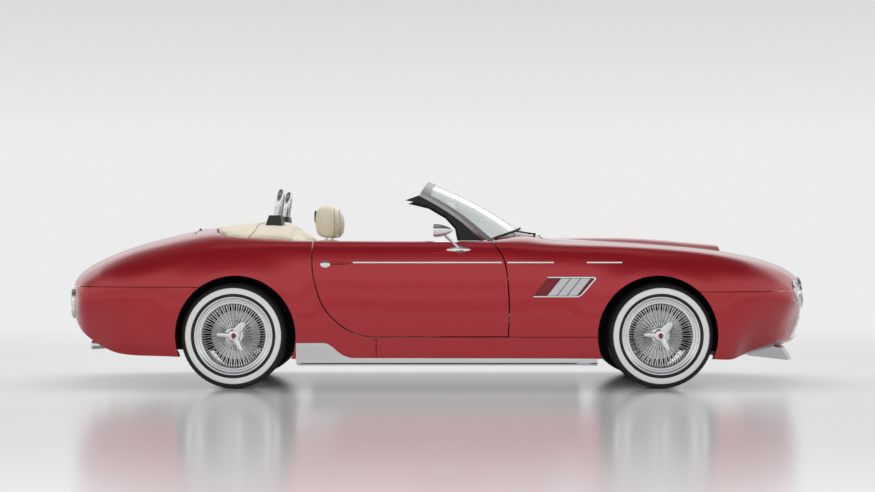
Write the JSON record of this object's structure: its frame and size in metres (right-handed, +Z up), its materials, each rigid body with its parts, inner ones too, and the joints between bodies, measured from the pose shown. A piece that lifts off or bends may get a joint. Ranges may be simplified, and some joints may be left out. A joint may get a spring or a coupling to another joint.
{
  "type": "roadster convertible",
  "caption": "Open roadster with a long bonnet, raked screen, padded rear deck with roll hoops, wire wheels and chrome trim; wheels, steering, doors, bonnet and boot lid move.",
  "frame": {"origin": "on the ground under the middle of the car's overall length and width", "axes": "+X towards the nose, +Y to the car's left, +Z up"},
  "size_m": [4.8176, 1.954, 1.3219],
  "materials": {
    "red_paint": "deep metallic red lacquer, glossy",
    "dark_structure": "satin black body structure",
    "chrome": "polished chrome",
    "silver": "satin silver",
    "tyre": "black rubber with a white side band",
    "cream_leather": "cream leather",
    "black_plastic": "grained black",
    "black_rubber": "matt black seal",
    "glass": "clear laminated glass",
    "lamp_glass": "clear lamp cover",
    "red_lens": "red lens",
    "cast_metal": "plain cast metal",
    "steel": "machined steel"
  },
  "bodies": {
    "chassis": {"arch_liners": "dark_structure", "console": "black_plastic", "dashboard": "black_plastic", "door_hinges": "steel", "engine": "cast_metal", "exhaust": "chrome", "front_axle": "steel", "front_wings": "red_paint", "grille": "chrome", "head_restraints": "cream_leather", "headlamps": "lamp_glass", "hoop_bases": "black_plastic", "lamp_bezels": "chrome", "lower_grille": "chrome", "nose_cover": "red_paint", "radiator": "black_plastic", "rear_axle": "steel", "rear_deck": "cream_leather", "rear_quarters": "red_paint", "roll_hoops": "chrome", "seat_backs": "cream_leather", "seat_bases": "black_plastic", "seat_cushions": "cream_leather", "side_vents": "silver", "sill_panels": "red_paint", "sill_trims": "chrome", "splitter": "silver", "tail_cover": "red_paint", "tail_lamps": "red_lens", "tub": "dark_structure", "windscreen_frame": "chrome", "windscreen_glass": "glass", "windscreen_seals": "black_rubber", "wing_strips": "chrome", "wipers": "black_rubber"},
    "knuckle_left": {"knuckle_left": "steel"},
    "knuckle_right": {"knuckle_right": "steel"},
    "wheel_front_left": {"wheel_front_left": "chrome", "tyre_front_left": "tyre"},
    "wheel_front_right": {"wheel_front_right": "chrome", "tyre_front_right": "tyre"},
    "wheel_rear_left": {"wheel_rear_left": "chrome", "tyre_rear_left": "tyre"},
    "wheel_rear_right": {"wheel_rear_right": "chrome", "tyre_rear_right": "tyre"},
    "steering_wheel": {"steering_wheel": "black_plastic"},
    "door_left": {"door_left": "red_paint", "door_trim_left": "chrome", "mirror_left": "chrome"},
    "door_right": {"door_right": "red_paint", "door_trim_right": "chrome", "mirror_right": "chrome"},
    "bonnet": {"bonnet": "red_paint"},
    "boot_lid": {"boot_lid": "red_paint"}
  },
  "joints": [
    {"name": "steer_left", "type": "hinge", "parent": "chassis", "child": "knuckle_left", "pos_m": [1.402, 0.62, 0.332], "axis": [0, 0, 1], "range_deg": [-32, 32]},
    {"name": "spin_front_left", "type": "hinge", "parent": "knuckle_left", "child": "wheel_front_left", "pos_m": [1.402, 0.745, 0.332], "axis": [0, 1, 0], "continuous": true},
    {"name": "spin_rear_left", "type": "hinge", "parent": "chassis", "child": "wheel_rear_left", "pos_m": [-1.28, 0.745, 0.332], "axis": [0, 1, 0], "continuous": true},
    {"name": "door_left_hinge", "type": "hinge", "parent": "chassis", "child": "door_left", "pos_m": [0.415, 0.86593, 0.56], "axis": [0, 0, -1], "range_deg": [0, 62]},
    {"name": "steer_right", "type": "hinge", "parent": "chassis", "child": "knuckle_right", "pos_m": [1.402, -0.62, 0.332], "axis": [0, 0, 1], "range_deg": [-32, 32]},
    {"name": "spin_front_right", "type": "hinge", "parent": "knuckle_right", "child": "wheel_front_right", "pos_m": [1.402, -0.745, 0.332], "axis": [0, 1, 0], "continuous": true},
    {"name": "spin_rear_right", "type": "hinge", "parent": "chassis", "child": "wheel_rear_right", "pos_m": [-1.28, -0.745, 0.332], "axis": [0, 1, 0], "continuous": true},
    {"name": "door_right_hinge", "type": "hinge", "parent": "chassis", "child": "door_right", "pos_m": [0.415, -0.86593, 0.56], "axis": [0, 0, 1], "range_deg": [0, 62]},
    {"name": "steering_column", "type": "hinge", "parent": "chassis", "child": "steering_wheel", "pos_m": [-0.02, 0.362, 0.732], "axis": [-0.9272, 0, 0.3746], "range_deg": [-448, 448]},
    {"name": "bonnet_hinge", "type": "hinge", "parent": "chassis", "child": "bonnet", "pos_m": [0.672, 0, 0.962], "axis": [0, -1, 0], "range_deg": [0, 50]},
    {"name": "boot_lid_hinge", "type": "hinge", "parent": "chassis", "child": "boot_lid", "pos_m": [-1.562, 0, 1.006], "axis": [0, 1, 0], "range_deg": [0, 60]}
  ],
  "couplings": [
    {"joint": "steer_right", "follows": "steer_left", "ratio": 1},
    {"joint": "steering_column", "follows": "steer_left", "ratio": 14}
  ]
}
